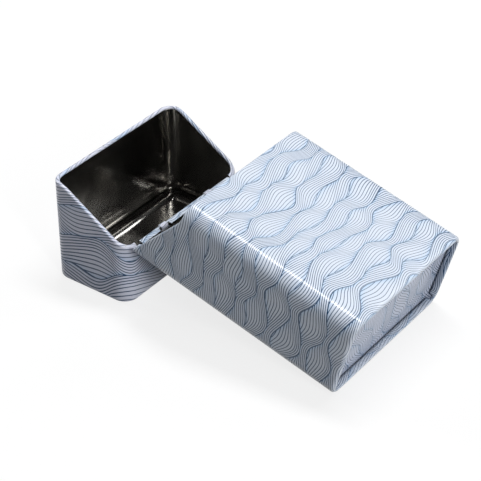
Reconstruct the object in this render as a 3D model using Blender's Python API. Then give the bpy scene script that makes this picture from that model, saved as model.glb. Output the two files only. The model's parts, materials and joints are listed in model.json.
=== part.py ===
"""Slanted flip top cigarette tin, rolled from tinplate, lying open on its lid."""

import math

import bmesh
import bpy
from mathutils import Matrix, Vector

MM = 0.001

# Case
CASE_WIDTH = 56.0 * MM
CASE_DEPTH = 28.1 * MM
BODY_BACK_LENGTH = 73.6 * MM
LID_BACK_HEIGHT = 19.1 * MM
MOUTH_SLANT = math.radians(32.0)
MOUTH_BLEND = 2.0 * MM
CORNER_RADIUS = 4.7 * MM
SHEET = 0.23 * MM

# Rolled mouth rims
CLOSED_GAP = 0.3 * MM
CURL_RADIUS = 0.65 * MM
CURL_LEG = 0.9 * MM
CURL_CORNER_LEG = 0.3 * MM

# End hems and the panels that they hold
HEM_THICKNESS = 1.35 * MM
HEM_EDGE_RADIUS = 0.45 * MM
HEM_DEPTH = 2.1 * MM
HEM_RELIEF_DEPTH = 0.9 * MM
SEAT_GAP = 0.3 * MM
PANEL_CORNER_MIN = 1.2 * MM
LID_BEAD_INSET = 2.2 * MM
LID_BEAD_WIDTH = 2.8 * MM
LID_BEAD_HEIGHT = 0.6 * MM
LID_GROOVE_WIDTH = 0.9 * MM
LID_GROOVE_DEPTH = 0.4 * MM
LID_STEP_WIDTH = 0.4 * MM
LID_PLATEAU_RISE = 0.15 * MM

# Lock seam up the back of each wall
SEAM_WIDTH = 5.0 * MM
SEAM_EDGE = 0.15 * MM
SEAM_GROOVE_DEPTH = 0.12 * MM
SEAM_END_GAP = 0.4 * MM
SEAM_TOP_DROP = 3.4 * MM

# Hinge: barrel rolled round the wire, and the lid's hooks through its windows
WIRE_RADIUS = 0.35 * MM
WIRE_CLEARANCE = 0.05 * MM
WIRE_END_INSET = 0.2 * MM
BARREL_INSET = 6.6 * MM
BARREL_LEG = 1.2 * MM
BARREL_JOG_TOP_DROP = 0.8 * MM
HOOK_CLEARANCE = 0.10 * MM
HOOK_WIDTH = 2.8 * MM
HOOK_SPACING = 21.6 * MM
HOOK_LEG = 0.15 * MM
HOOK_JOG_TOP_DROP = 0.5 * MM
HOOK_SLIT = 0.3 * MM
WINDOW_WIDTH = 4.8 * MM
WINDOW_TOP_DROP = 0.2 * MM
OPENING_LIMIT = math.radians(110.0)
RIM_END_INSET = 5.3 * MM
BODY_EDGE_DROP = 1.9 * MM
LID_EDGE_DROP = 1.0 * MM
LID_SLOT_DROP = 2.0 * MM
STRIP_ROOT = 0.6 * MM
JOG_START_RISE = 0.1 * MM
OVERRUN = 1.5 * MM
MERGE_DISTANCE = 0.001 * MM

# Facets
CORNER_SEGMENTS = 6
BLEND_STEPS = 2
CURL_SEGMENTS = 6
HEM_SEGMENTS = 2
JOG_STEPS = 3
BEAD_STEPS = 4
WIRE_SIDES = 12
SHARP_ANGLE = math.radians(35.0)

# Derived sizes
BARREL_RADIUS = WIRE_RADIUS + WIRE_CLEARANCE + SHEET
HOOK_RADIUS = BARREL_RADIUS + HOOK_CLEARANCE + SHEET
BARREL_END = CASE_WIDTH / 2 - BARREL_INSET
RIM_END = CASE_WIDTH / 2 - RIM_END_INSET
OVERSWING = OPENING_LIMIT - math.radians(90.0)
WINDOW_LIP_DROP = (
    HOOK_RADIUS + BARREL_RADIUS * math.sin(OVERSWING)
) / math.cos(OVERSWING) + HOOK_CLEARANCE
FLANGE_OUT = (HEM_THICKNESS - SHEET) / 2
PANEL_LEVEL = HEM_DEPTH + SEAT_GAP + SHEET
SEAM_FOOT = PANEL_LEVEL + LID_BEAD_HEIGHT + SEAM_END_GAP
BLEND_START = CASE_DEPTH - CORNER_RADIUS - MOUTH_BLEND

# The body leans from the hinge until the edge of its base meets the table
BASE_REACH = BODY_BACK_LENGTH - HEM_EDGE_RADIUS
LEAN = math.asin(
    (LID_BACK_HEIGHT - HEM_EDGE_RADIUS) / math.hypot(BASE_REACH, HEM_EDGE_RADIUS)
) + math.atan2(HEM_EDGE_RADIUS, BASE_REACH)
BODY_REACH = (
    BASE_REACH * math.cos(LEAN)
    + (CASE_DEPTH - HEM_EDGE_RADIUS) * math.sin(LEAN)
    + HEM_EDGE_RADIUS
)
HINGE_X = (CASE_DEPTH - BODY_REACH) / 2

MATERIALS = {
    "printed_sheet": ((0.60, 0.70, 0.82), 0.35, 0.2),
    "printed_lid": ((0.56, 0.66, 0.80), 0.35, 0.2),
    "printed_base": ((0.52, 0.60, 0.74), 0.4, 0.2),
    "bare_tinplate": ((0.45, 0.44, 0.42), 0.25, 1.0),
    "steel_wire": ((0.55, 0.55, 0.55), 0.3, 1.0),
}


def clear_scene():
    """Start from an empty scene."""
    for item in list(bpy.data.objects):
        bpy.data.objects.remove(item, do_unlink=True)


def make_material(name):
    """Principled material with the sub-part's colour, roughness and metallic value."""
    colour, roughness, metallic = MATERIALS[name]
    material = bpy.data.materials.new(name)
    material.use_nodes = True
    shader = material.node_tree.nodes["Principled BSDF"]
    shader.inputs["Base Color"].default_value = (*colour, 1.0)
    shader.inputs["Roughness"].default_value = roughness
    shader.inputs["Metallic"].default_value = metallic
    return material


def add_object(name, mesh_builder, material, parent):
    """Turn a bmesh into a named object under the given axis."""
    bmesh.ops.recalc_face_normals(mesh_builder, faces=mesh_builder.faces)
    mesh = bpy.data.meshes.new(name)
    mesh_builder.to_mesh(mesh)
    mesh_builder.free()
    mesh.shade_smooth()
    mesh.set_sharp_from_angle(angle=SHARP_ANGLE)
    item = bpy.data.objects.new(name, mesh)
    item.data.materials.append(make_material(material))
    item.parent = parent
    bpy.context.collection.objects.link(item)
    return item


def add_axis(name, columns):
    """Empty on the hinge axis: x runs across the case, y to its front, z to its mouth."""
    axis = bpy.data.objects.new(name, None)
    turn = Matrix(columns).transposed().to_4x4()
    axis.matrix_world = Matrix.Translation((HINGE_X, 0, LID_BACK_HEIGHT)) @ turn
    bpy.context.collection.objects.link(axis)
    return axis


def wall_station(centre, angle, bent):
    """Station whose wall faces the given way; bent where it is inside a rounded corner."""
    return {
        "centre": Vector(centre),
        "out": Vector((math.cos(angle), math.sin(angle))),
        "cut": None,
        "leg": CURL_CORNER_LEG if bent else CURL_LEG,
        "relief": False,
        "seam": 0,
        "groove": 0,
    }


def corner_stations(corner, centre):
    """Stations round one of the four rounded corners."""
    stations = []
    for step in range(CORNER_SEGMENTS + 1):
        angle = math.radians(90.0) * (corner - 1 + step / CORNER_SEGMENTS)
        stations.append(wall_station(centre, angle, 0 < step < CORNER_SEGMENTS))
    stations[CORNER_SEGMENTS // 2]["relief"] = True
    return stations


def blend_stations(across, angle):
    """Stations on a side wall where the mouth's slant starts to turn level."""
    steps = [step / BLEND_STEPS for step in range(BLEND_STEPS)]
    return [wall_station((across, BLEND_START + MOUTH_BLEND * share), angle, False) for share in steps]


def front_stations():
    """Stations from the back right corner round the front to the back left corner."""
    across = CASE_WIDTH / 2 - CORNER_RADIUS
    far = CASE_DEPTH - CORNER_RADIUS
    stations = corner_stations(0, (across, CORNER_RADIUS))
    stations += blend_stations(across, 0)
    stations += corner_stations(1, (across, far))
    stations += corner_stations(2, (-across, far))
    stations += reversed(blend_stations(-across, math.radians(180.0)))
    stations += corner_stations(3, (-across, CORNER_RADIUS))
    return stations


def back_station(place, cut, seam, groove):
    """Station on the back wall; cut is the drop of its plain edge, or none under the roll."""
    station = wall_station((place, CORNER_RADIUS), math.radians(-90.0), False)
    return station | {"cut": cut, "seam": seam, "groove": groove}


def back_stations(edge_drop, slot_drop):
    """Stations along the back wall, with its slots for the hooks if it has any."""
    half_slot = HOOK_WIDTH / 2 + HOOK_SLIT
    seam_edge = SEAM_WIDTH / 2
    stations = [back_station(-RIM_END, None, 0, 0), back_station(-RIM_END, edge_drop, 0, 0)]
    if slot_drop:
        stations += slot_stations(-HOOK_SPACING / 2, half_slot, edge_drop, slot_drop)
    stations += [
        back_station(-seam_edge - SEAM_EDGE, edge_drop, 0, 0),
        back_station(-seam_edge, edge_drop, 1, 0),
        back_station(seam_edge - SEAM_EDGE, edge_drop, 1, 0),
        back_station(seam_edge, edge_drop, 1, 1),
        back_station(seam_edge + SEAM_EDGE, edge_drop, 0, 0),
    ]
    if slot_drop:
        stations += slot_stations(HOOK_SPACING / 2, half_slot, edge_drop, slot_drop)
    stations += [back_station(RIM_END, edge_drop, 0, 0), back_station(RIM_END, None, 0, 0)]
    return stations


def slot_stations(middle, half_slot, edge_drop, slot_drop):
    """Stations at the two sides of one slot in the back wall's edge."""
    return [
        back_station(middle - half_slot, edge_drop, 0, 0),
        back_station(middle - half_slot, slot_drop, 0, 0),
        back_station(middle + half_slot, slot_drop, 0, 0),
        back_station(middle + half_slot, edge_drop, 0, 0),
    ]


def arc(centre, radius, start, end, segments):
    """Points of an arc in the section, angles in degrees."""
    points = []
    for step in range(segments + 1):
        angle = math.radians(start + (end - start) * step / segments)
        points.append((centre[0] + radius * math.cos(angle), centre[1] + radius * math.sin(angle)))
    return points


def hem_section(station):
    """Section of the end hem, from the wall's outer face round to its inner face."""
    depth = HEM_RELIEF_DEPTH if station["relief"] else HEM_DEPTH
    radius = HEM_EDGE_RADIUS
    near = (radius, radius)
    far = (HEM_THICKNESS - radius, radius)
    points = arc(near, radius, 180, 270, HEM_SEGMENTS)
    points += arc(far, radius, 270, 360, HEM_SEGMENTS)
    points += [(HEM_THICKNESS, depth), (HEM_THICKNESS - SHEET, depth)]
    points += arc(far, radius - SHEET, 360, 270, HEM_SEGMENTS)
    points += arc(near, radius - SHEET, 270, 180, HEM_SEGMENTS)
    return points


def curl_section(leg):
    """Section of the mouth's inward roll, from the inner face round to the outer."""
    drop = CLOSED_GAP / 2 + CURL_RADIUS
    centre = (CURL_RADIUS, -drop)
    inside = 2 * CURL_RADIUS
    points = arc(centre, CURL_RADIUS - SHEET, 180, 0, CURL_SEGMENTS)
    points += [(inside - SHEET, -drop - leg), (inside, -drop - leg)]
    points += arc(centre, CURL_RADIUS, 0, 180, CURL_SEGMENTS)
    return points


def wall_rows(station, axis_height, cut_drops, outer):
    """One face of the straight wall, upward, as inset, height and share of the slant."""
    plain = 0 if outer else SHEET
    pressed = SEAM_GROOVE_DEPTH * station["groove"] if outer else SHEET * (1 + 2 * station["seam"])
    top = axis_height - SEAM_TOP_DROP
    rows = [
        (plain, SEAM_FOOT, 0),
        (pressed, SEAM_FOOT + SEAM_EDGE, 0),
        (pressed, top - SEAM_EDGE, 1),
        (plain, top, 1),
    ]
    lowest = station["cut"] or 0
    rows += [(plain, axis_height - drop, 1) for drop in cut_drops if drop >= lowest]
    return rows


def mouth_rise(depth, slope):
    """Rise of the mouth at a depth: it slants along the sides and is level round the front."""
    over = min(max(depth - BLEND_START, 0), 2 * MOUTH_BLEND)
    return slope * (min(depth, BLEND_START) + over - over ** 2 / (4 * MOUTH_BLEND))


def wall_loop(shell, station, axis_height, cut_drops, slope):
    """Closed loop of points round the sheet's section at one station."""
    hem = [(inset, height, 0) for inset, height in hem_section(station)]
    inside = wall_rows(station, axis_height, cut_drops, False)
    outside = wall_rows(station, axis_height, cut_drops, True)
    curl = []
    if station["cut"] is None:
        curl = [(inset, axis_height + height, 1) for inset, height in curl_section(station["leg"])]
    loop = []
    for inset, height, slanted in hem + inside + curl + list(reversed(outside)):
        place = station["centre"] + station["out"] * (CORNER_RADIUS - inset)
        rise = height - axis_height + slanted * mouth_rise(place.y, slope)
        loop.append(shell.verts.new((place.x, place.y, rise)))
    return loop


def bridge_loops(shell, near, far):
    """Faces between two loops with the same number of points."""
    count = len(near)
    for point in range(count):
        after = (point + 1) % count
        shell.faces.new((near[point], near[after], far[after], far[point]))


def cap_step(shell, longer, shorter):
    """End face of what the longer section has above the shorter, where the edge steps."""
    pairs = enumerate(zip(longer, shorter))
    head = next(place for place, (one, other) in pairs if one.co != other.co)
    extra = len(longer) - len(shorter)
    shell.faces.new(longer[head - 1:head + extra + 1])


def wall_shell(axis_height, slope, edge_drop, slot_drop):
    """Sheet wall swept round the case, with its origin on the hinge axis."""
    shell = bmesh.new()
    stations = back_stations(edge_drop, slot_drop) + front_stations()
    cut_drops = [drop for drop in (slot_drop, edge_drop) if drop]
    loops = [wall_loop(shell, station, axis_height, cut_drops, slope) for station in stations]
    for near, far in zip(loops, loops[1:] + loops[:1]):
        if len(near) == len(far):
            bridge_loops(shell, near, far)
        else:
            cap_step(shell, max(near, far, key=len), min(near, far, key=len))
    bmesh.ops.remove_doubles(shell, verts=shell.verts, dist=MERGE_DISTANCE)
    return shell


def panel_ring(panel, inset, height, axis_height):
    """Rounded rectangle of points, set in from the outside of the case."""
    radius = max(CORNER_RADIUS - inset, PANEL_CORNER_MIN)
    across = CASE_WIDTH / 2 - inset - radius
    near = inset + radius
    far = CASE_DEPTH - inset - radius
    ring = []
    for corner, centre in enumerate(((across, near), (across, far), (-across, far), (-across, near))):
        for x, y in arc(centre, radius, 90 * (corner - 1), 90 * corner, CORNER_SEGMENTS):
            ring.append(panel.verts.new((x, y, height - axis_height)))
    return ring


def end_panel(axis_height, pressing):
    """Recessed panel whose flange stands in the hem; pressing is its raised shape."""
    flange_in = FLANGE_OUT + SHEET
    turn = (FLANGE_OUT + HEM_EDGE_RADIUS, PANEL_LEVEL - HEM_EDGE_RADIUS)
    foot = SHEET + SEAT_GAP
    section = [(inset, PANEL_LEVEL + rise) for inset, rise in reversed(pressing)]
    section += arc(turn, HEM_EDGE_RADIUS, 90, 180, HEM_SEGMENTS)
    section += [(FLANGE_OUT, foot), (flange_in, foot)]
    section += arc(turn, HEM_EDGE_RADIUS - SHEET, 180, 90, HEM_SEGMENTS)
    section += [(inset, PANEL_LEVEL - SHEET + rise) for inset, rise in pressing]
    panel = bmesh.new()
    rings = [panel_ring(panel, inset, height, axis_height) for inset, height in section]
    for near, far in zip(rings, rings[1:]):
        bridge_loops(panel, near, far)
    panel.faces.new(rings[0])
    panel.faces.new(list(reversed(rings[-1])))
    return panel


def base_pressing():
    """Base panel is flat inside its turned edge."""
    return [(LID_BEAD_INSET, 0)]


def lid_pressing():
    """Lid panel has a raised bead, a groove and a slightly raised middle."""
    points = []
    for step in range(BEAD_STEPS + 1):
        share = step / BEAD_STEPS
        inset = LID_BEAD_INSET + LID_BEAD_WIDTH * share
        points.append((inset, LID_BEAD_HEIGHT * math.sin(math.pi * share)))
    groove = LID_BEAD_INSET + LID_BEAD_WIDTH + LID_STEP_WIDTH
    middle = groove + LID_GROOVE_WIDTH
    points += [(groove, -LID_GROOVE_DEPTH), (middle, -LID_GROOVE_DEPTH)]
    points.append((middle + LID_STEP_WIDTH, LID_PLATEAU_RISE))
    return points


def hinge_wire():
    """Straight wire through the barrel."""
    wire = bmesh.new()
    length = 2 * (BARREL_END - WIRE_END_INSET)
    bmesh.ops.create_cone(
        wire, cap_ends=True, segments=WIRE_SIDES, radius1=WIRE_RADIUS, radius2=WIRE_RADIUS,
        depth=length, matrix=Matrix.Rotation(math.radians(90.0), 4, "Y"),
    )
    return wire


def shape_wall(wall, tool, operation):
    """Cut a wall with a tool object, or join the object to it."""
    tool.hide_render = True
    tool.display_type = "WIRE"
    change = wall.modifiers.new(tool.name, "BOOLEAN")
    change.operation = operation
    change.object = tool


def cut_window(wall, name, place, axis):
    """Opening under the barrel that one of the lid's hooks swings in."""
    cutter = bmesh.new()
    height = WINDOW_LIP_DROP - WINDOW_TOP_DROP
    middle = Vector((place, 0, -(WINDOW_LIP_DROP + WINDOW_TOP_DROP) / 2))
    size = Matrix.Diagonal((WINDOW_WIDTH, 2 * OVERRUN, height, 1))
    bmesh.ops.create_cube(cutter, size=1, matrix=Matrix.Translation(middle) @ size)
    shape_wall(wall, add_object(name, cutter, "bare_tinplate", axis), "DIFFERENCE")


def sheet_section(path):
    """Section of a strip of sheet along a path of points in the middle of its thickness."""
    faces = ([], [])
    for before, point, after in zip(path[:1] + path[:-1], path, path[1:] + path[-1:]):
        along = (after - before).normalized()
        across = Vector((along.y, -along.x)) * SHEET / 2
        faces[0].append(point + across)
        faces[1].append(point - across)
    return faces[0] + list(reversed(faces[1]))


def rolled_path(edge_drop, jog_top_drop, outer_radius, leg):
    """Path of a strip that leaves the wall, jogs outward and rolls over the hinge axis."""
    radius = outer_radius - SHEET / 2
    root = Vector((SHEET / 2, -edge_drop))
    path = [root - Vector((0, STRIP_ROOT)), root]
    start = edge_drop - JOG_START_RISE
    for step in range(JOG_STEPS + 1):
        share = step / JOG_STEPS
        ease = (1 - math.cos(math.pi * share)) / 2
        inset = SHEET / 2 - (radius + SHEET / 2) * ease
        path.append(Vector((inset, -start + (start - jog_top_drop) * share)))
    path += [Vector(point) for point in arc((0, 0), radius, 180, 0, CURL_SEGMENTS)]
    path.append(Vector((radius, -leg)))
    return path


def join_strip(wall, name, path, place, width, material, axis):
    """Strip of the wall's own sheet, shaped along a path and joined to the wall's edge."""
    strip = bmesh.new()
    start = place - width / 2
    corners = [strip.verts.new((start, inset, rise)) for inset, rise in sheet_section(path)]
    side = strip.faces.new(corners)
    grown = bmesh.ops.extrude_face_region(strip, geom=[side])
    moved = [item for item in grown["geom"] if isinstance(item, bmesh.types.BMVert)]
    bmesh.ops.translate(strip, verts=moved, vec=(width, 0, 0))
    shape_wall(wall, add_object(name, strip, material, axis), "UNION")


def build():
    """Build the five pieces of the tin."""
    clear_scene()
    slope = math.tan(MOUTH_SLANT)
    forward = (math.sin(LEAN), 0, math.cos(LEAN))
    mouthward = (-math.cos(LEAN), 0, math.sin(LEAN))
    body_axis = add_axis("body_axis", ((0, -1, 0), forward, mouthward))
    lid_axis = add_axis("lid_axis", ((0, 1, 0), (-1, 0, 0), (0, 0, 1)))
    hook_places = (("left", -HOOK_SPACING / 2), ("right", HOOK_SPACING / 2))

    body = wall_shell(BODY_BACK_LENGTH, -slope, BODY_EDGE_DROP, None)
    body_shell = add_object("body_shell", body, "printed_sheet", body_axis)
    barrel = rolled_path(BODY_EDGE_DROP, BARREL_JOG_TOP_DROP, BARREL_RADIUS, BARREL_LEG)
    join_strip(body_shell, "barrel", barrel, 0, 2 * BARREL_END, "printed_sheet", body_axis)
    for side, place in hook_places:
        cut_window(body_shell, "window_" + side, place, body_axis)
    base = end_panel(BODY_BACK_LENGTH, base_pressing())
    add_object("base_panel", base, "printed_base", body_axis)
    add_object("hinge_wire", hinge_wire(), "steel_wire", body_axis)

    lid = wall_shell(LID_BACK_HEIGHT, slope, LID_EDGE_DROP, LID_SLOT_DROP)
    lid_shell = add_object("lid_shell", lid, "printed_lid", lid_axis)
    hook = rolled_path(LID_SLOT_DROP, HOOK_JOG_TOP_DROP, HOOK_RADIUS, HOOK_LEG)
    for side, place in hook_places:
        join_strip(lid_shell, "hook_" + side, hook, place, HOOK_WIDTH, "printed_lid", lid_axis)
    panel = end_panel(LID_BACK_HEIGHT, lid_pressing())
    add_object("lid_panel", panel, "bare_tinplate", lid_axis)


build()
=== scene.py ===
"""Looks of the open flip top cigarette tin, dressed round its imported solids."""

import json
import math

import bmesh
import bpy
from mathutils import Matrix, Vector


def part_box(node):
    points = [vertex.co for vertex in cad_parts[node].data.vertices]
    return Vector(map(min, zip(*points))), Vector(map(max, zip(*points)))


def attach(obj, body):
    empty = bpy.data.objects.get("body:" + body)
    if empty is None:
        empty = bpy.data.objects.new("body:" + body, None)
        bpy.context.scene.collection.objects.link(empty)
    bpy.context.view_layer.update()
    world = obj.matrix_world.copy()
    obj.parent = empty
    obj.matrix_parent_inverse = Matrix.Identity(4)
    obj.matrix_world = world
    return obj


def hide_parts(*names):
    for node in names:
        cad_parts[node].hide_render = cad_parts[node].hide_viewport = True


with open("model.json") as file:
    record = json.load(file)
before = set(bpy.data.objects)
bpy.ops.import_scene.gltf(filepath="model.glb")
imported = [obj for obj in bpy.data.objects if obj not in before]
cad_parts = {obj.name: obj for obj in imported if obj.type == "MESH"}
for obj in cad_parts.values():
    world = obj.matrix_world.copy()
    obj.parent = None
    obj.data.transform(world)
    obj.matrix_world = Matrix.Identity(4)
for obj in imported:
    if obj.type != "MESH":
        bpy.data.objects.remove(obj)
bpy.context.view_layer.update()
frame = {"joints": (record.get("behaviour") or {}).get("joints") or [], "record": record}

MM = 0.001

# Sizes and places from the frame
LID_LOW, LID_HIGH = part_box("lid_shell")
HINGE = Vector(frame["joints"][0]["pos_m"])
BASE_REST = {mount["name"]: mount for mount in frame["record"]["mounts"]}["base_end_rest"]
MOUTHWARD = -Vector(BASE_REST["axis"]).normalized()
FORWARD = Vector((MOUTHWARD.z, 0, -MOUTHWARD.x))
CASE_WIDTH = LID_HIGH.y - LID_LOW.y
CASE_DEPTH = HINGE.x - LID_LOW.x
LID_BACK_HEIGHT = HINGE.z
BODY_BACK_LENGTH = (HINGE - Vector(BASE_REST["pos_m"])).dot(MOUTHWARD)

# Sheet, rims, hems and hinge, as the solids have them, but with rounder hems
MOUTH_SLANT = math.radians(32.0)
MOUTH_BLEND = 2.0 * MM
CORNER_RADIUS = 4.7 * MM
SHEET = 0.23 * MM
CLOSED_GAP = 0.3 * MM
CURL_RADIUS = 0.65 * MM
CURL_LEG = 0.9 * MM
CURL_CORNER_LEG = 0.3 * MM
HEM_THICKNESS = 1.35 * MM
HEM_OUTER_RADIUS = 1.0 * MM
HEM_INNER_RADIUS = 0.35 * MM
HEM_DEPTH = 2.1 * MM
HEM_RELIEF_DEPTH = 0.9 * MM
HEM_RELIEF_SHARE = 0.25
SEAT_GAP = 0.3 * MM
PANEL_TURN_RADIUS = 0.45 * MM
PANEL_CORNER_MIN = 1.2 * MM
BEAD_INSET = 2.2 * MM
BEAD_WIDTH = 2.8 * MM
BEAD_HEIGHT = 0.6 * MM
GROOVE_WIDTH = 0.9 * MM
GROOVE_DEPTH = 0.4 * MM
STEP_WIDTH = 0.4 * MM
PLATEAU_RISE = 0.15 * MM
SEAM_WIDTH = 5.0 * MM
SEAM_EDGE = 0.15 * MM
SEAM_MORE_LAYERS = 2
SEAM_GROOVE_DEPTH = 0.12 * MM
SEAM_END_GAP = 0.4 * MM
SEAM_TOP_DROP = 3.4 * MM
BARREL_INSET = 6.6 * MM
BARREL_LEG = 1.2 * MM
BARREL_JOG_TOP_DROP = 0.8 * MM
BARREL_RADIUS = 0.63 * MM
HOOK_RADIUS = 0.96 * MM
HOOK_WIDTH = 2.8 * MM
HOOK_SPACING = 21.6 * MM
HOOK_LEG = 0.15 * MM
HOOK_JOG_TOP_DROP = 0.5 * MM
HOOK_SLIT = 0.3 * MM
WINDOW_WIDTH = 4.8 * MM
WINDOW_TOP_DROP = 0.2 * MM
WINDOW_LIP_DROP = 1.351 * MM
RIM_END_INSET = 5.3 * MM
BODY_EDGE_DROP = 1.9 * MM
LID_EDGE_DROP = 1.0 * MM
LID_SLOT_DROP = 2.0 * MM
STRIP_ROOT = 0.6 * MM
JOG_START_RISE = 0.1 * MM
OVERRUN = 1.5 * MM
MERGE_DISTANCE = 0.0005 * MM

# Fineness of the sheet
CORNER_SEGMENTS = 16
BLEND_STEPS = 6
CURL_SEGMENTS = 14
HEM_SEGMENTS = 8
JOG_STEPS = 10
BEAD_STEPS = 14
SHARP_ANGLE = math.radians(35.0)

# Print of overlapping waves of thin lines, its lengths in millimetres on the sheet
WAVE_ROW = 6.6
WAVE_LENGTH = 25.0
WAVE_SWING = 2.3
LEAST_SWING = 0.8
WAVE_LEAN = 0.3
WAVE_PHASE = 1.3
WAVE_HALF_WIDTH = 2.7
LEAST_WIDTH = 0.75
WIDTH_RANGE = 0.5
WIDTH_SEED = 31.5
WARP = 4.0
WARP_LENGTHS = (36.0, 36.0)
WARP_SEED_STEP = 9.5
ORDER_SEED = 21.5
ORDER_ZONE_STEP = 7.3
ORDER_ROW_STEP = 3.7
ORDER_RAMP = (0.05, 0.95)
LINE_SPACING = 0.82
LINE_GATHER = 0.55
LINES_GATHERED = 4.7
LEAST_REACH = 3.0
FITTING = 2.2
LINE_WIDTH = 0.13
# Painted shade: the print's lines are drawn wider on the narrow sides
SIDE_SHADE_LINE_WIDTH = 0.24
LINE_SOFTNESS = 0.05
TINT_REACH = 0.8
LEAST_TINT = 0.25

# Middle value of a noise or a chance
EVEN = 0.5

# Colours
GROUND = (0.645, 0.69, 0.77)
LID_GROUND = (0.68, 0.69, 0.79)
BASE_GROUND = (0.655, 0.70, 0.83)
TINT = (0.33, 0.52, 0.76)
INK = (0.013, 0.05, 0.12)
# Painted shade: dark blue laid into the crevice where the panel's foot meets the hem
CREVICE_SHADE_COLOUR = (0.02, 0.03, 0.06)
TIN = (0.42, 0.41, 0.39)
STEEL = (0.42, 0.42, 0.43)
FLOOR = (0.17, 0.17, 0.17)
WHITE = (1.0, 1.0, 1.0, 1.0)

# The three prints, each with its turn in degrees and its weight of lacquer
PRINTS = {
    "printed_sheet": {"ground": GROUND, "scale": 0.85, "turn": 0.0, "seed": 1.0, "coat": 0.7},
    "printed_lid": {"ground": LID_GROUND, "scale": 1.3, "turn": 0.0, "seed": 2.0, "coat": 0.4},
    "printed_base": {"ground": BASE_GROUND, "scale": 0.9, "turn": 60.0, "seed": 3.0, "coat": 0.35},
}

# Finish of a print, its lengths in millimetres
MOTTLE_LENGTHS = (7.0, 7.0)
MOTTLE_SEED = 3
MOTTLE_TINT = 0.15
BORDER_TINT = 0.65
GRAIN_LENGTHS = (0.35, 0.35)
GRAIN_SEED = 4
INK_STRENGTH = 0.85
# Painted shade: the print's ink is drawn stronger on the narrow sides
SIDE_SHADE_INK = 0.3
GRAIN_INK = 0.4
RUB = 0.4
RUB_REACH = 0.5
# Painted shade in the crevice at the panel's foot: its strength and its reach
CREVICE_SHADE_STRENGTH = 0.85
CREVICE_SHADE_REACH = 0.5
CHIP_LENGTHS = (0.9, 0.5)
CHIP_SEED = 5
CHIP_DETAIL = 4.0
CHIP_REACH = 1.3
CHIP_LEVEL = 0.36
WEAR_RAMP = (0.02, 0.12)
WORN_METAL = 0.9
PRINT_ROUGHNESS = 0.34
MOTTLE_ROUGHNESS = 0.14
COAT_ROUGHNESS = 0.24
PRINT_SPECULAR = 0.06
SWELL_LENGTHS = (9.0, 9.0)
SWELL_SEED = 6
SWELL_HEIGHT = 0.6
GRAIN_HEIGHT = 0.02
INK_HEIGHT = 0.006
WEAR_DEPTH = 0.05
PRINT_RELIEF = 0.12 * MM
PRINT_BUMP = 0.5

# Finish of the bare tinplate, its lengths in millimetres
ROLLING_LENGTHS = (0.2, 12.0)
ROLLING_SEED = 1.0
ROLLING_SHADE = 0.1
ROLLING_ROUGHNESS = 0.03
ROLLING_HEIGHT = 0.01
STAIN_LENGTHS = (8.0, 12.0)
STAIN_SEED = 2.0
STAIN_SHADE = 0.4
STAIN_ROUGHNESS = 0.14
STAINED_TIN = 0.45
SCRATCH_LENGTHS = (0.3, 16.0)
SCRATCH_SEED = 3.0
SCRATCH_LEAN = 0.4
SCRATCH_TURN = 0.3
SCRATCH_RAMP = (0.64, 0.72)
SCRATCH_ROUGHNESS = 0.05
TIN_ROUGHNESS = 0.09
TIN_RELIEF = 0.25 * MM
TIN_BUMP = 0.6

# Finish of the wire, its lengths in millimetres
DRAWN_LENGTHS = (0.1, 4.0, 0.1)
DRAWN_SEED = 4.0
DRAWN_ROUGHNESS = 0.2
WIRE_STAIN_LENGTHS = (2.0, 3.0, 2.0)
WIRE_STAIN_SEED = 5.0
STAINED_STEEL = 0.6
WIRE_ROUGHNESS = 0.28
WIRE_RELIEF = 0.01 * MM
WIRE_BUMP = 0.5

# Camera
CAMERA_AZIMUTH = math.radians(36.225)
CAMERA_ELEVATION = math.radians(34.464)
CAMERA_LENS = 124.77
CAMERA_SENSOR = 36.0
CAMERA_PLACE = Vector((233.1, -324.6, 292.5)) * MM

# Studio
FLOOR_SIZE = 3.0
FLOOR_GLOW = 0.8
FLOOR_MOTTLE_LENGTHS = (60.0, 60.0, 60.0)
FLOOR_MOTTLE_SEED = 8.0
FLOOR_MOTTLE_SHADE = 0.97
FLOOR_GLOW_RAYS = ("Is Camera Ray", "Is Glossy Ray", "Is Transmission Ray")
WORLD_STRENGTH = 0.25
LAMP_TARGET = Vector((0.0, 0.0, 0.0))
LAMPS = {
    "overhead": {"place": (0.0, 0.25, 0.9), "size": (0.6, 0.2), "power": 7.8},
    "softbox": {"place": (0.38, 0.75, 0.66), "size": (0.18, 0.45), "power": 1.7},
    "fill": {"place": (0.85, -0.45, 0.62), "size": (0.1, 0.6), "power": 4.6},
    "side": {"place": (1.2, -0.15, 0.12), "size": (0.4, 0.2), "power": 5.2},
    "back": {"place": (-1.1, -0.1, 0.5), "size": (0.5, 0.5), "power": 5.5},
}

# Worked out from the values above
BARREL_END = CASE_WIDTH / 2 - BARREL_INSET
RIM_END = CASE_WIDTH / 2 - RIM_END_INSET
FLANGE_OUT = (HEM_THICKNESS - SHEET) / 2
PANEL_LEVEL = HEM_DEPTH + SEAT_GAP + SHEET
SEAM_FOOT = PANEL_LEVEL + BEAD_HEIGHT + SEAM_END_GAP
PERIMETER = 2 * (CASE_WIDTH + CASE_DEPTH) - (8 - 2 * math.pi) * CORNER_RADIUS
BLEND_START = CASE_DEPTH - CORNER_RADIUS - MOUTH_BLEND
RELIEF_REACH = round(CORNER_SEGMENTS * HEM_RELIEF_SHARE / 2)
HEM_FOOT_POINT = 2 * (HEM_SEGMENTS + 1)

# Materials of a sheet, by number
PRINTED = 0
BARE = 1

# Layers that carry the print, and the distance written where no edge is near
PRINT_LAYER = "print_mm"
EDGE_LAYER = "edge_mm"
FAR_FROM_EDGE = 30.0 * MM


def axis_frame(columns):
    """Turn and place of a local frame on the hinge axis."""
    return Matrix.Translation(HINGE) @ Matrix(columns).transposed().to_4x4()


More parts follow.
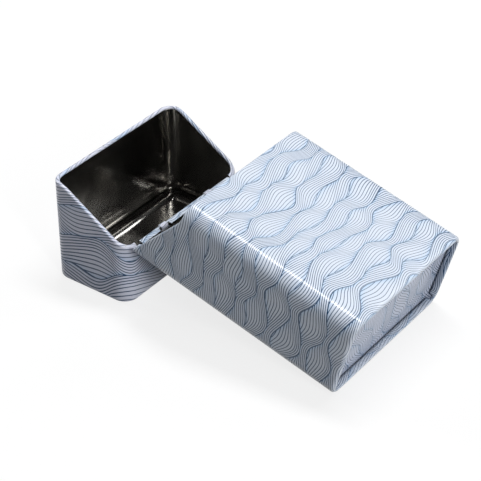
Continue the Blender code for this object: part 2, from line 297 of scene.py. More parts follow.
def wall_station(centre, angle, bent):
    """Station whose wall faces the given way; bent where it is inside a rounded corner."""
    return {
        "centre": Vector(centre),
        "out": Vector((math.cos(angle), math.sin(angle))),
        "cut": None,
        "leg": CURL_CORNER_LEG if bent else CURL_LEG,
        "relief": False,
        "seam": 0,
        "groove": 0,
    }


def corner_stations(corner, centre):
    """Stations round one of the four corners, with a shallower hem amid the turn."""
    stations = []
    for step in range(CORNER_SEGMENTS + 1):
        angle = math.radians(90.0) * (corner - 1 + step / CORNER_SEGMENTS)
        stations.append(wall_station(centre, angle, 0 < step < CORNER_SEGMENTS))
    middle = CORNER_SEGMENTS // 2
    for station in stations[middle - RELIEF_REACH:middle + RELIEF_REACH + 1]:
        station["relief"] = True
    return stations


def blend_stations(across, angle):
    """Stations on a side wall where the mouth's slant starts to turn level."""
    stations = []
    for step in range(BLEND_STEPS):
        depth = BLEND_START + MOUTH_BLEND * step / BLEND_STEPS
        stations.append(wall_station((across, depth), angle, False))
    return stations


def front_stations():
    """Stations from the back right corner round the front to the back left corner."""
    across = CASE_WIDTH / 2 - CORNER_RADIUS
    far = CASE_DEPTH - CORNER_RADIUS
    stations = corner_stations(0, (across, CORNER_RADIUS))
    stations += blend_stations(across, 0)
    stations += corner_stations(1, (across, far))
    stations += corner_stations(2, (-across, far))
    stations += reversed(blend_stations(-across, math.radians(180.0)))
    stations += corner_stations(3, (-across, CORNER_RADIUS))
    return stations


def back_station(place, cut, seam, groove):
    """Station on the back wall; cut is the drop of its plain edge, or none under the roll."""
    station = wall_station((place, CORNER_RADIUS), math.radians(-90.0), False)
    return station | {"cut": cut, "seam": seam, "groove": groove}


def slot_stations(middle, edge_drop, slot_drop):
    """Stations at the two sides of one slot in the back wall's edge."""
    half_slot = HOOK_WIDTH / 2 + HOOK_SLIT
    return [
        back_station(middle - half_slot, edge_drop, 0, 0),
        back_station(middle - half_slot, slot_drop, 0, 0),
        back_station(middle + half_slot, slot_drop, 0, 0),
        back_station(middle + half_slot, edge_drop, 0, 0),
    ]


def back_stations(edge_drop, slot_drop):
    """Stations along the back wall, with its slots for the hooks if it has any."""
    seam_edge = SEAM_WIDTH / 2
    stations = [back_station(-RIM_END, None, 0, 0), back_station(-RIM_END, edge_drop, 0, 0)]
    if slot_drop:
        stations += slot_stations(-HOOK_SPACING / 2, edge_drop, slot_drop)
    stations += [
        back_station(-seam_edge - SEAM_EDGE, edge_drop, 0, 0),
        back_station(-seam_edge, edge_drop, 1, 0),
        back_station(seam_edge - SEAM_EDGE, edge_drop, 1, 0),
        back_station(seam_edge, edge_drop, 1, 1),
        back_station(seam_edge + SEAM_EDGE, edge_drop, 0, 0),
    ]
    if slot_drop:
        stations += slot_stations(HOOK_SPACING / 2, edge_drop, slot_drop)
    stations += [back_station(RIM_END, edge_drop, 0, 0), back_station(RIM_END, None, 0, 0)]
    return stations


def arc(centre, radius, start, end, segments):
    """Points of an arc in the section, angles in degrees."""
    points = []
    for step in range(segments + 1):
        angle = math.radians(start + (end - start) * step / segments)
        points.append((centre[0] + radius * math.cos(angle), centre[1] + radius * math.sin(angle)))
    return points


def hem_section(station):
    """Section of the end hem, from the wall's outer face round to its inner face."""
    depth = HEM_RELIEF_DEPTH if station["relief"] else HEM_DEPTH
    near = (HEM_OUTER_RADIUS, HEM_OUTER_RADIUS)
    far = (HEM_THICKNESS - HEM_INNER_RADIUS, HEM_INNER_RADIUS)
    points = arc(near, HEM_OUTER_RADIUS, 180, 270, HEM_SEGMENTS)
    points += arc(far, HEM_INNER_RADIUS, 270, 360, HEM_SEGMENTS)
    points += [(HEM_THICKNESS, depth), (HEM_THICKNESS - SHEET, depth)]
    points += arc(far, HEM_INNER_RADIUS - SHEET, 360, 270, HEM_SEGMENTS)
    points += arc(near, HEM_OUTER_RADIUS - SHEET, 270, 180, HEM_SEGMENTS)
    return points


def curl_section(leg):
    """Section of the mouth's inward roll, from the inner face round to the outer."""
    drop = CLOSED_GAP / 2 + CURL_RADIUS
    centre = (CURL_RADIUS, -drop)
    inside = 2 * CURL_RADIUS
    points = arc(centre, CURL_RADIUS - SHEET, 180, 0, CURL_SEGMENTS)
    points += [(inside - SHEET, -drop - leg), (inside, -drop - leg)]
    points += arc(centre, CURL_RADIUS, 0, 180, CURL_SEGMENTS)
    return points


def wall_rows(station, axis_height, cut_drops, outer):
    """One face of the straight wall, upward, as inset, height and share of the slant."""
    if outer:
        plain = 0
        pressed = SEAM_GROOVE_DEPTH * station["groove"]
    else:
        plain = SHEET
        pressed = SHEET * (1 + SEAM_MORE_LAYERS * station["seam"])
    top = axis_height - SEAM_TOP_DROP
    rows = [
        (plain, SEAM_FOOT, 0),
        (pressed, SEAM_FOOT + SEAM_EDGE, 0),
        (pressed, top - SEAM_EDGE, 1),
        (plain, top, 1),
    ]
    lowest = station["cut"] or 0
    rows += [(plain, axis_height - drop, 1) for drop in cut_drops if drop >= lowest]
    return rows


def wall_section(station, axis_height, cut_drops):
    """Section of the sheet at one station, and the last of its points with the inside's bare face."""
    hem = [(inset, height, 0) for inset, height in hem_section(station)]
    inside = wall_rows(station, axis_height, cut_drops, False)
    outside = wall_rows(station, axis_height, cut_drops, True)
    curl = []
    if station["cut"] is None:
        curl = [(inset, axis_height + height, 1) for inset, height in curl_section(station["leg"])]
    points = hem + inside + curl + list(reversed(outside))
    last_bare = len(hem) + len(inside) + len(curl) // 2 - (0 if curl else 1)
    return points, last_bare


def mouth_rise(depth, slope):
    """Rise of the mouth at a depth: it slants along the sides and is level round the front."""
    over = min(max(depth - BLEND_START, 0), 2 * MOUTH_BLEND)
    return slope * (min(depth, BLEND_START) + over - over ** 2 / (4 * MOUTH_BLEND))


def wall_loop(shell, station, axis_height, cut_drops, slope):
    """Closed loop of points round the sheet's section, with where the print falls on each."""
    points, last_bare = wall_section(station, axis_height, cut_drops)
    loop = []
    from_edges = []
    for inset, height, slanted in points:
        place = station["centre"] + station["out"] * (CORNER_RADIUS - inset)
        mouth = mouth_rise(place.y, slope)
        rise = height - axis_height + slanted * mouth
        loop.append(shell.verts.new((place.x, place.y, rise)))
        from_edges.append(min(rise + axis_height, abs(mouth - CLOSED_GAP / 2 - rise)))
    lengths = [(one.co - other.co).length for one, other in zip(loop, loop[1:] + loop[:1])]
    start = loop[0].co.z
    rises = []
    from_foots = []
    for point in range(len(loop)):
        if point <= HEM_FOOT_POINT:
            rises.append(start - sum(lengths[:point]))
            from_foots.append(sum(lengths[point:HEM_FOOT_POINT]))
        else:
            rises.append(start + sum(lengths[point:]))
            from_foots.append(FAR_FROM_EDGE)
    edges = list(zip(from_edges, from_foots))
    kinds = [
        PRINTED if point < HEM_FOOT_POINT or point > last_bare else BARE
        for point in range(len(loop))
    ]
    return {"loop": loop, "rises": rises, "edges": edges, "kinds": kinds, "station": station}


def print_layers(piece_mesh):
    """Layers for where the unrolled print falls, and for how far edges and panel feet are."""
    return [piece_mesh.loops.layers.uv.new(name) for name in (PRINT_LAYER, EDGE_LAYER)]


def lay_print(face, layers, values):
    """Write both layers on a face's corners, in millimetres."""
    for corner in face.loops:
        for layer, pair in zip(layers, values[corner.vert]):
            corner[layer].uv = [length / MM for length in pair]


def spacing(near, far):
    """Distance from one station to the next along the outside of the case."""
    before = near["station"]["centre"] + near["station"]["out"] * CORNER_RADIUS
    after = far["station"]["centre"] + far["station"]["out"] * CORNER_RADIUS
    return (after - before).length


def bridge_loops(shell, near, far, layers):
    """Faces between two loops with the same number of points."""
    count = len(near["loop"])
    reach = near["round"] + spacing(near, far)
    for point in range(count):
        after = (point + 1) % count
        values = {}
        for side, place, around in (
            (near, point, near["round"]),
            (near, after, near["round"]),
            (far, after, reach),
            (far, point, reach),
        ):
            values[side["loop"][place]] = ((around, side["rises"][place]), side["edges"][place])
        face = shell.faces.new(list(values))
        face.material_index = near["kinds"][point]
        lay_print(face, layers, values)


def cap_step(shell, longer, shorter):
    """End face of what the longer section has above the shorter, where the edge steps."""
    pairs = enumerate(zip(longer["loop"], shorter["loop"]))
    head = next(place for place, (one, other) in pairs if one.co != other.co)
    extra = len(longer["loop"]) - len(shorter["loop"])
    face = shell.faces.new(longer["loop"][head - 1:head + extra + 1])
    face.material_index = BARE


def wall_shell(axis_height, slope, edge_drop, slot_drop):
    """Sheet wall swept round the case, with its origin on the hinge axis."""
    shell = bmesh.new()
    layers = print_layers(shell)
    stations = back_stations(edge_drop, slot_drop) + front_stations()
    first = next(place for place, station in enumerate(stations) if station["groove"])
    stations = stations[first:] + stations[:first]
    cut_drops = [drop for drop in (slot_drop, edge_drop) if drop]
    loops = [wall_loop(shell, station, axis_height, cut_drops, slope) for station in stations]
    around = SEAM_WIDTH / 2
    for near, far in zip(loops, loops[1:] + loops[:1]):
        near["round"] = around
        around += spacing(near, far)
        if len(near["loop"]) == len(far["loop"]):
            bridge_loops(shell, near, far, layers)
        else:
            ordered = sorted((near, far), key=lambda item: len(item["loop"]))
            cap_step(shell, ordered[1], ordered[0])
    bmesh.ops.remove_doubles(shell, verts=shell.verts, dist=MERGE_DISTANCE)
    return shell


def panel_ring(panel, inset, height, axis_height):
    """Rounded rectangle of points, set in from the outside of the case."""
    radius = max(CORNER_RADIUS - inset, PANEL_CORNER_MIN)
    across = CASE_WIDTH / 2 - inset - radius
    near = inset + radius
    far = CASE_DEPTH - inset - radius
    ring = []
    centres = ((across, near), (across, far), (-across, far), (-across, near))
    for corner, centre in enumerate(centres):
        for x, y in arc(centre, radius, 90 * (corner - 1), 90 * corner, CORNER_SEGMENTS):
            ring.append(panel.verts.new((x, y, height - axis_height)))
    return ring


def end_panel(axis_height, pressing):
    """Recessed panel whose flange stands in the hem; pressing is its raised shape."""
    flange_in = FLANGE_OUT + SHEET
    turn = (FLANGE_OUT + PANEL_TURN_RADIUS, PANEL_LEVEL - PANEL_TURN_RADIUS)
    foot = SHEET + SEAT_GAP
    section = [(inset, PANEL_LEVEL + rise) for inset, rise in reversed(pressing)]
    section += arc(turn, PANEL_TURN_RADIUS, 90, 180, HEM_SEGMENTS)
    section += [(FLANGE_OUT, foot), (flange_in, foot)]
    first_printed = len(section) - 1
    section += arc(turn, PANEL_TURN_RADIUS - SHEET, 180, 90, HEM_SEGMENTS)
    section += [(inset, PANEL_LEVEL - SHEET + rise) for inset, rise in pressing]
    panel = bmesh.new()
    layers = print_layers(panel)
    rings = [panel_ring(panel, inset, height, axis_height) for inset, height in section]
    insets = {}
    for ring, (inset, height) in zip(rings, section):
        insets |= dict.fromkeys(ring, inset)
    for place, (near, far) in enumerate(zip(rings, rings[1:])):
        for point in range(len(near)):
            after = (point + 1) % len(near)
            face = panel.faces.new((near[point], near[after], far[after], far[point]))
            face.material_index = PRINTED if place >= first_printed else BARE
    panel.faces.new(rings[0]).material_index = BARE
    panel.faces.new(list(reversed(rings[-1]))).material_index = PRINTED
    for face in panel.faces:
        lay_print(face, layers, {
            vert: ((vert.co.x, vert.co.y), (FAR_FROM_EDGE, insets[vert] - HEM_THICKNESS))
            for vert in face.verts
        })
    return panel


def base_pressing():
    """Base panel is flat inside its turned edge."""
    return [(BEAD_INSET, 0)]


def lid_pressing():
    """Lid panel has a raised bead, a groove and a slightly raised middle."""
    points = []
    for step in range(BEAD_STEPS + 1):
        share = step / BEAD_STEPS
        inset = BEAD_INSET + BEAD_WIDTH * share
        points.append((inset, BEAD_HEIGHT * math.sin(math.pi * share)))
    groove = BEAD_INSET + BEAD_WIDTH + STEP_WIDTH
    middle = groove + GROOVE_WIDTH
    points += [(groove, -GROOVE_DEPTH), (middle, -GROOVE_DEPTH)]
    points.append((middle + STEP_WIDTH, PLATEAU_RISE))
    return points


def sheet_faces(path):
    """The two faces of a strip of sheet along a path in the middle of its thickness."""
    outer = []
    inner = []
    for before, point, after in zip(path[:1] + path[:-1], path, path[1:] + path[-1:]):
        along = (after - before).normalized()
        across = Vector((along.y, -along.x)) * SHEET / 2
        outer.append(point - across)
        inner.append(point + across)
    return outer, inner


def rolled_path(edge_drop, jog_top_drop, outer_radius, leg):
    """Path of a strip that leaves the wall, jogs outward and rolls over the hinge axis."""
    radius = outer_radius - SHEET / 2
    root = Vector((SHEET / 2, -edge_drop))
    path = [root - Vector((0, STRIP_ROOT)), root]
    start = edge_drop - JOG_START_RISE
    for step in range(JOG_STEPS + 1):
        share = step / JOG_STEPS
        ease = (1 - math.cos(math.pi * share)) / 2
        inset = SHEET / 2 - (radius + SHEET / 2) * ease
        path.append(Vector((inset, -start + (start - jog_top_drop) * share)))
    path += [Vector(point) for point in arc((0, 0), radius, 180, 0, CURL_SEGMENTS)]
    path.append(Vector((radius, -leg)))
    return path


def new_piece(name, mesh_builder, materials, turn):
    """Turn a bmesh in a local frame into an object of the scene."""
    bmesh.ops.recalc_face_normals(mesh_builder, faces=mesh_builder.faces)
    mesh = bpy.data.meshes.new(name)
    mesh_builder.to_mesh(mesh)
    mesh_builder.free()
    mesh.transform(turn)
    for material in materials:
        mesh.materials.append(material)
    item = bpy.data.objects.new(name, mesh)
    bpy.context.collection.objects.link(item)
    return item


def strip_piece(name, path, start, end, materials, turn):
    """Strip of the wall's own sheet, shaped along a path, printed on its outer face."""
    strip = bmesh.new()
    layers = print_layers(strip)
    outer, inner = sheet_faces(path)
    section = outer + list(reversed(inner))
    lengths = [0]
    for one, other in zip(path, path[1:]):
        lengths.append(lengths[-1] + (other - one).length)
    rises = [path[0].y + length for length in lengths + list(reversed(lengths))]
    top = max(point.y for point in section)
    places = [start] + [cut for cut in (SEAM_WIDTH / 2,) if start < cut < end] + [end]
    loops = [[strip.verts.new((place, *point)) for point in section] for place in places]
    for left, right, near, far in zip(places, places[1:], loops, loops[1:]):
        shift = PERIMETER * (left < SEAM_WIDTH / 2)
        for point in range(len(section)):
            after = (point + 1) % len(section)
            values = {}
            for side, place, around in (
                (near, point, left),
                (near, after, left),
                (far, after, right),
                (far, point, right),
            ):
                from_top = top - section[place].y
                values[side[place]] = ((around + shift, rises[place]), (from_top, FAR_FROM_EDGE))
            face = strip.faces.new(list(values))
            face.material_index = PRINTED if point < len(outer) - 1 else BARE
            lay_print(face, layers, values)
    strip.faces.new(loops[0]).material_index = BARE
    strip.faces.new(list(reversed(loops[-1]))).material_index = BARE
    return new_piece(name, strip, materials, turn)


def window_cutter(name, place, materials, turn):
    """Block that cuts the opening under the barrel for one of the lid's hooks."""
    cutter = bmesh.new()
    print_layers(cutter)
    height = WINDOW_LIP_DROP - WINDOW_TOP_DROP
    middle = Vector((place, 0, -(WINDOW_LIP_DROP + WINDOW_TOP_DROP) / 2))
    size = Matrix.Diagonal((WINDOW_WIDTH, 2 * OVERRUN, height, 1))
    bmesh.ops.create_cube(cutter, size=1, matrix=Matrix.Translation(middle) @ size)
    for face in cutter.faces:
        face.material_index = BARE
    return new_piece(name, cutter, materials, turn)


def shaped(wall, tools):
    """Apply the tools to the wall as Booleans, and smooth what is rounded."""
    for tool, operation in tools:
        change = wall.modifiers.new(tool.name, "BOOLEAN")
        change.operation = operation
        change.object = tool
    graph = bpy.context.evaluated_depsgraph_get()
    mesh = bpy.data.meshes.new_from_object(wall.evaluated_get(graph))
    wall.modifiers.clear()
    wall.data = mesh
    for tool, operation in tools:
        bpy.data.objects.remove(tool)
    smoothed(wall)


def smoothed(piece):
    """Smooth the rounded faces and keep the sheet's edges sharp."""
    piece.data.shade_smooth()
    piece.data.set_sharp_from_angle(angle=SHARP_ANGLE)


class Field:
    """Value that varies over a surface; arithmetic on it adds Math nodes to its tree."""

    def __init__(self, tree, socket):
        self.tree = tree
        self.socket = socket

    def __add__(self, other):
        return mathed("ADD", self, other)

    def __radd__(self, other):
        return mathed("ADD", other, self)

    def __sub__(self, other):
        return mathed("SUBTRACT", self, other)

    def __rsub__(self, other):
        return mathed("SUBTRACT", other, self)

    def __mul__(self, other):
        return mathed("MULTIPLY", self, other)

    def __rmul__(self, other):
        return mathed("MULTIPLY", other, self)

    def __truediv__(self, other):
        return mathed("DIVIDE", self, other)

    def __rtruediv__(self, other):
        return mathed("DIVIDE", other, self)


def fill(tree, socket, value):
    """Set a socket to a number or link it to a field."""
    if isinstance(value, Field):
        tree.links.new(value.socket, socket)
    else:
        socket.default_value = value


def mathed(operation, *values):
    """Field worked out from others by one Math node."""
    tree = next(value.tree for value in values if isinstance(value, Field))
    node = tree.nodes.new("ShaderNodeMath")
    node.operation = operation
    for socket, value in zip(node.inputs, values):
        fill(tree, socket, value)
    return Field(tree, node.outputs["Value"])


def picked(test, one, other):
    """One field where the test is 1, the other where it is 0."""
    return other + test * (one - other)


def faded(distance, reach):
    """Falls from 1 at no distance towards 0 beyond the reach."""
    return mathed("EXPONENT", distance * (-1 / reach))


def ramped(value, low, high):
    """Smooth rise from 0 at the low value to 1 at the high one."""
    tree = value.tree
    node = tree.nodes.new("ShaderNodeMapRange")
    node.interpolation_type = "SMOOTHSTEP"
    fill(tree, node.inputs["Value"], value)
    fill(tree, node.inputs["From Min"], low)
    fill(tree, node.inputs["From Max"], high)
    return Field(tree, node.outputs["Result"])


def laid(tree, layer):
    """The two lengths of a layer, in millimetres."""
    source = tree.nodes.new("ShaderNodeUVMap")
    source.uv_map = layer
    split = tree.nodes.new("ShaderNodeSeparateXYZ")
    tree.links.new(source.outputs["UV"], split.inputs["Vector"])
    return Field(tree, split.outputs["X"]), Field(tree, split.outputs["Y"])


def object_place(tree):
    """Where a point is on its piece, in millimetres."""
    source = tree.nodes.new("ShaderNodeTexCoord")
    split = tree.nodes.new("ShaderNodeSeparateXYZ")
    tree.links.new(source.outputs["Object"], split.inputs["Vector"])
    return [Field(tree, split.outputs[axis]) / MM for axis in "XYZ"]


def gathered(tree, values):
    """Vector from three fields."""
    join = tree.nodes.new("ShaderNodeCombineXYZ")
    for socket, value in zip(join.inputs, values):
        fill(tree, socket, value)
    return Field(tree, join.outputs["Vector"])


def cloud(place, lengths, seed, detail=2.0):
    """Soft noise about 0.5, with its own length along each direction."""
    tree = place[0].tree
    node = tree.nodes.new("ShaderNodeTexNoise")
    scaled = [value / length + seed for value, length in zip(place, lengths)]
    tree.links.new(gathered(tree, scaled).socket, node.inputs["Vector"])
    node.inputs["Scale"].default_value = 1.0
    node.inputs["Detail"].default_value = detail
    return Field(tree, node.outputs["Fac"])


def chances(number, seed):
    """Three random values that belong to a number."""
    tree = number.tree
    node = tree.nodes.new("ShaderNodeTexWhiteNoise")
    node.noise_dimensions = "1D"
    fill(tree, node.inputs["W"], number + seed)
    split = tree.nodes.new("ShaderNodeSeparateColor")
    tree.links.new(node.outputs["Color"], split.inputs["Color"])
    return [Field(tree, socket) for socket in split.outputs]


def above(value, limit):
    """1 where the value is over the limit, else 0."""
    return mathed("GREATER_THAN", value, limit)


def least(one, other):
    """The smaller of two values."""
    return mathed("MINIMUM", one, other)


def fitted(width, room):
    """Width that gives way smoothly where there is less room."""
    return mathed("SMOOTH_MIN", width, room, FITTING)


def wave_middle(across, row, seed):
    """Height of the middle line of a wave."""
    phase_chance, lean_chance, swing_chance = chances(row, seed)
    phase = across * (2 * math.pi / WAVE_LENGTH) + row * math.pi + phase_chance * WAVE_PHASE
    lean = WAVE_LEAN * (1 - 2 * above(lean_chance, EVEN))
    swing = WAVE_SWING * (LEAST_SWING + (1 - LEAST_SWING) * swing_chance)
    return row * WAVE_ROW + swing * mathed("SINE", phase + lean * mathed("SINE", phase))


def zone_order(zone, row, seed):
    """0 or 1, by chance, for one wave in one zone along it."""
    return above(chances(zone * ORDER_ZONE_STEP + row * ORDER_ROW_STEP, seed)[0], EVEN)


def wave_order(across, row, seed):
    """0 where a wave lies over the next one up, 1 where it lies under it."""
    turn = across / WAVE_LENGTH + row / 2
    zone = mathed("FLOOR", turn)
    here = zone_order(zone, row, seed)
    after = zone_order(zone + 1, row, seed)
    return picked(ramped(turn - zone, *ORDER_RAMP), after, here)


def wave_width(row, seed, room):
    """Half width of a wave, where there is room for it."""
    share = LEAST_WIDTH + WIDTH_RANGE * chances(row, seed + WIDTH_SEED)[0]
    return fitted(WAVE_HALF_WIDTH * share, room)


def wave_print(across, up, seed, line_width):
    """Ink and tint of a print of overlapping waves of thin lines."""
    sideways = cloud((across, up), WARP_LENGTHS, seed, 0.0) - EVEN
    upward = cloud((across, up), WARP_LENGTHS, seed + WARP_SEED_STEP, 0.0) - EVEN
    across = across + 2 * WARP * sideways
    up = up + 2 * WARP * upward
    nearest = mathed("FLOOR", up / WAVE_ROW + 0.5)
    near_middle = wave_middle(across, nearest, seed)
    over = above(up, near_middle)
    far_middle = wave_middle(across, nearest + 2 * over - 1, seed)
    row = nearest + over - 1
    low = least(near_middle, far_middle)
    room = mathed("ABSOLUTE", far_middle - near_middle)
    low_width = wave_width(row, seed, room)
    high_width = wave_width(row + 1, seed, room)
    order = wave_order(across, row, seed + ORDER_SEED)
    border = picked(order, room - high_width, low_width)
    height = up - low
    is_high = above(height, border)
    run = picked(is_high, room - height, height)
    reach = mathed("MAXIMUM", picked(is_high, room - border, border), LEAST_REACH)
    density = LINE_GATHER * LINES_GATHERED / reach + (1 - LINE_GATHER) / LINE_SPACING
    turn = mathed("FRACT", run * density + 0.5)
    line_gap = least(turn, 1 - turn) / density
    border_gap = mathed("ABSOLUTE", height - border)
    ink = 1 - ramped(least(line_gap, border_gap), line_width / 2, line_width / 2 + LINE_SOFTNESS)
    behind = picked(is_high, 1 - order, order)
    tint = faded(border_gap, TINT_REACH) * (LEAST_TINT + (1 - LEAST_TINT) * behind)
    return ink, tint


def blended(share, one, other):
    """Colour between two, each a plain colour or a field."""
    tree = share.tree
    node = tree.nodes.new("ShaderNodeMix")
    node.data_type = "RGBA"
    fill(tree, node.inputs["Factor"], share)
    for name, colour in (("A", one), ("B", other)):
        socket = next(item for item in node.inputs if item.name == name and item.type == "RGBA")
        if isinstance(colour, Field):
            tree.links.new(colour.socket, socket)
        else:
            socket.default_value = (*colour, 1.0)
    result = next(item for item in node.outputs if item.type == "RGBA")
    return Field(tree, result)


def new_material(name):
    """Material with its node tree and shader."""
    material = bpy.data.materials.new(name)
    material.use_nodes = True
    return material, material.node_tree, material.node_tree.nodes["Principled BSDF"]


def shaded(colour, share):
    """Darker shade of a plain colour."""
    return [share * value for value in colour]


def finished(tree, shader, values):
    """Set or link the shader's sockets by name."""
    for name, value in values.items():
        fill(tree, shader.inputs[name], value)


def bumped(shader, tree, height, distance, strength):
    """Relief of the surface from a field of heights."""
    node = tree.nodes.new("ShaderNodeBump")
    node.inputs["Distance"].default_value = distance
    node.inputs["Strength"].default_value = strength
    fill(tree, node.inputs["Height"], height)
    tree.links.new(node.outputs["Normal"], shader.inputs["Normal"])


def side_shade_share(around):
    """Grows round a wall, from 0 amid its front and back to 1 amid its narrow sides; it weights the
    painted shade that draws the print's lines darker and wider on the narrow sides.
    """
    turned = 0.5 - 0.5 * mathed("COSINE", around * (4 * math.pi * MM / PERIMETER))
    return turned * turned


def printed_material(name, ground, scale, turn, seed, coat):
    """Lacquered print on tinplate, worn to the metal along its edges, with painted shade darkening
    the crevice at the panel's foot and the print's lines drawn darker and wider on the narrow sides
    as painted shade.
    """
    material, tree, shader = new_material(name)
    around, up = laid(tree, PRINT_LAYER)
    from_edge, from_foot = laid(tree, EDGE_LAYER)
    cosine = math.cos(math.radians(turn))
    sine = math.sin(math.radians(turn))
    across = (around * cosine + up * sine) / scale
    along = (up * cosine - around * sine) / scale
    # Painted shade: the print's lines grow darker and wider towards the narrow sides
    side_shade = side_shade_share(around)
    line_width = picked(side_shade, SIDE_SHADE_LINE_WIDTH, LINE_WIDTH)
    ink, tint = wave_print(across, along, seed, line_width)
    mottle = cloud((around, up), MOTTLE_LENGTHS, seed + MOTTLE_SEED)
    grain = cloud((around, up), GRAIN_LENGTHS, seed + GRAIN_SEED)
    chips = cloud((around, up), CHIP_LENGTHS, seed + CHIP_SEED, CHIP_DETAIL)
    swell = cloud((around, up), SWELL_LENGTHS, seed + SWELL_SEED)
    mottled = blended(MOTTLE_TINT * mottle, ground, TINT)
    tinted = blended(BORDER_TINT * tint, mottled, TINT)
    rubbed = 1 - RUB * faded(from_edge, RUB_REACH)
    strength = INK_STRENGTH + SIDE_SHADE_INK * side_shade + GRAIN_INK * (grain - EVEN)
    inked = blended(ink * rubbed * strength, tinted, INK)
    # Painted shade: darker in the crevice at the panel's foot and at the end of the hem's inner leg
    crevice_shaded = blended(CREVICE_SHADE_STRENGTH * faded(mathed("ABSOLUTE", from_foot), CREVICE_SHADE_REACH), inked, CREVICE_SHADE_COLOUR)
    worn = 1 - ramped(from_edge + CHIP_REACH * (chips - CHIP_LEVEL), *WEAR_RAMP)
    finished(tree, shader, {
        "Base Color": blended(worn, crevice_shaded, TIN),
        "Metallic": WORN_METAL * worn,
        "Roughness": PRINT_ROUGHNESS + MOTTLE_ROUGHNESS * mottle,
        "Coat Weight": coat - coat * worn,
        "Coat Roughness": COAT_ROUGHNESS,
        "Specular IOR Level": PRINT_SPECULAR,
    })
    height = SWELL_HEIGHT * swell + GRAIN_HEIGHT * grain + INK_HEIGHT * ink - WEAR_DEPTH * worn
    bumped(shader, tree, height, PRINT_RELIEF, PRINT_BUMP)
    return material


def tin_material(name):
    """Bare tinplate, with the fine grain of rolling, stains and light scratches."""
    material, tree, shader = new_material(name)
    around, up = laid(tree, PRINT_LAYER)
    grain = cloud((around, up), ROLLING_LENGTHS, ROLLING_SEED)
    stain = cloud((around, up), STAIN_LENGTHS, STAIN_SEED)
    slanted = (around + SCRATCH_LEAN * up, up - SCRATCH_TURN * around)
    scratch = ramped(cloud(slanted, SCRATCH_LENGTHS, SCRATCH_SEED), *SCRATCH_RAMP)
    marked = STAIN_ROUGHNESS * stain + ROLLING_ROUGHNESS * grain + SCRATCH_ROUGHNESS * scratch
    finished(tree, shader, {
        "Base Color": blended(
            STAIN_SHADE * stain + ROLLING_SHADE * grain, TIN, shaded(TIN, STAINED_TIN),
        ),
        "Metallic": 1.0,
        "Roughness": TIN_ROUGHNESS + marked,
    })
    bumped(shader, tree, stain + ROLLING_HEIGHT * grain, TIN_RELIEF, TIN_BUMP)
    return material


def wire_material(name):
    """Drawn steel wire."""
    material, tree, shader = new_material(name)
    place = object_place(tree)
    grain = cloud(place, DRAWN_LENGTHS, DRAWN_SEED)
    stain = cloud(place, WIRE_STAIN_LENGTHS, WIRE_STAIN_SEED)
    finished(tree, shader, {
        "Base Color": blended(stain, STEEL, shaded(STEEL, STAINED_STEEL)),
        "Metallic": 1.0,
        "Roughness": WIRE_ROUGHNESS + DRAWN_ROUGHNESS * grain,
    })
    bumped(shader, tree, grain, WIRE_RELIEF, WIRE_BUMP)
    return material


def dress(piece, body, node):
    """Set a finished piece on its body in place of the node that it stands for."""
    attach(piece, body)
    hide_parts(node)


def add_tin():
    """Body, lid and their end panels, in fine sheet."""
    slope = math.tan(MOUTH_SLANT)
    body_turn = axis_frame(((0, -1, 0), FORWARD, MOUTHWARD))
    lid_turn = axis_frame(((0, 1, 0), (-1, 0, 0), (0, 0, 1)))
    bare = tin_material("bare_tinplate")
    prints = {name: printed_material(name, **look) for name, look in PRINTS.items()}
    materials = (prints["printed_sheet"], bare)
    lid_materials = (prints["printed_lid"], bare)
    base_materials = (prints["printed_base"], bare)
    hooks = (("left", -HOOK_SPACING / 2), ("right", HOOK_SPACING / 2))

    wall = wall_shell(BODY_BACK_LENGTH, -slope, BODY_EDGE_DROP, None)
    body = new_piece("body_sheet", wall, materials, body_turn)
    path = rolled_path(BODY_EDGE_DROP, BARREL_JOG_TOP_DROP, BARREL_RADIUS, BARREL_LEG)
    tools = [(strip_piece("barrel", path, -BARREL_END, BARREL_END, materials, body_turn), "UNION")]
    for side, place in hooks:
        tools.append((window_cutter("window_" + side, place, materials, body_turn), "DIFFERENCE"))
    shaped(body, tools)
    dress(body, "case", "body_shell")

    pressed = end_panel(BODY_BACK_LENGTH, base_pressing())
    base = new_piece("base_sheet", pressed, base_materials, body_turn)
    smoothed(base)
    dress(base, "case", "base_panel")

    wall = wall_shell(LID_BACK_HEIGHT, slope, LID_EDGE_DROP, LID_SLOT_DROP)
    lid = new_piece("lid_sheet", wall, lid_materials, lid_turn)
    path = rolled_path(LID_SLOT_DROP, HOOK_JOG_TOP_DROP, HOOK_RADIUS, HOOK_LEG)
    tools = []
    for side, place in hooks:
        start = place - HOOK_WIDTH / 2
        end = start + HOOK_WIDTH
        hook = strip_piece("hook_" + side, path, start, end, lid_materials, lid_turn)
        tools.append((hook, "UNION"))
    shaped(lid, tools)
    dress(lid, "lid", "lid_shell")

    pressed = end_panel(LID_BACK_HEIGHT, lid_pressing())
    top = new_piece("lid_panel_sheet", pressed, lid_materials, lid_turn)
    smoothed(top)
    dress(top, "lid", "lid_panel")

    wire = bpy.data.objects["hinge_wire"]
    wire.data.materials.clear()
    wire.data.materials.append(wire_material("steel_wire"))


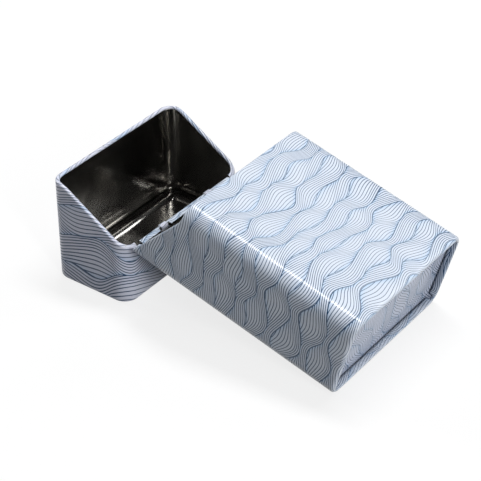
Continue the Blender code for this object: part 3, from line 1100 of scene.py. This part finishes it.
def add_camera():
    """Camera at the photograph's angle."""
    camera = bpy.data.objects.new("camera", bpy.data.cameras.new("camera"))
    camera.data.lens = CAMERA_LENS
    camera.data.sensor_width = CAMERA_SENSOR
    level = math.cos(CAMERA_ELEVATION)
    toward = Vector((
        math.sin(CAMERA_AZIMUTH) * level,
        -math.cos(CAMERA_AZIMUTH) * level,
        math.sin(CAMERA_ELEVATION),
    ))
    camera.location = CAMERA_PLACE
    camera.rotation_euler = (-toward).to_track_quat("-Z", "Y").to_euler()
    bpy.context.collection.objects.link(camera)
    bpy.context.scene.camera = camera


def add_lamp(name, place, size, power):
    """Soft rectangular lamp that looks at the case."""
    lamp = bpy.data.objects.new(name, bpy.data.lights.new(name, "AREA"))
    lamp.data.shape = "RECTANGLE"
    lamp.data.size, lamp.data.size_y = size
    lamp.data.energy = power
    lamp.location = place
    lamp.rotation_euler = (LAMP_TARGET - Vector(place)).to_track_quat("-Z", "Y").to_euler()
    bpy.context.collection.objects.link(lamp)


def floor_material(name):
    """Grey floor that glows nearly white to the camera, and so keeps only a faint shadow."""
    material, tree, shader = new_material(name)
    mottle = cloud(object_place(tree), FLOOR_MOTTLE_LENGTHS, FLOOR_MOTTLE_SEED)
    rays = tree.nodes.new("ShaderNodeLightPath")
    camera, glossy, transmission = [Field(tree, rays.outputs[kind]) for kind in FLOOR_GLOW_RAYS]
    finished(tree, shader, {
        "Base Color": blended(mottle, FLOOR, shaded(FLOOR, FLOOR_MOTTLE_SHADE)),
        "Roughness": 1.0,
        "Specular IOR Level": 0.0,
        "Emission Color": WHITE,
        "Emission Strength": FLOOR_GLOW * least(camera + glossy + transmission, 1),
    })
    return material


def add_studio():
    """Floor, soft lamps and a dim surround."""
    floor = bmesh.new()
    bmesh.ops.create_grid(floor, x_segments=1, y_segments=1, size=FLOOR_SIZE)
    piece = new_piece("floor", floor, (floor_material("floor"),), Matrix())
    world = bpy.data.worlds.new("studio")
    bpy.context.scene.world = world
    world.use_nodes = True
    world.node_tree.nodes["Background"].inputs["Strength"].default_value = WORLD_STRENGTH
    for name, lamp in LAMPS.items():
        add_lamp(name, **lamp)


add_tin()
add_camera()
add_studio()
bpy.context.scene.view_settings.view_transform = "Standard"
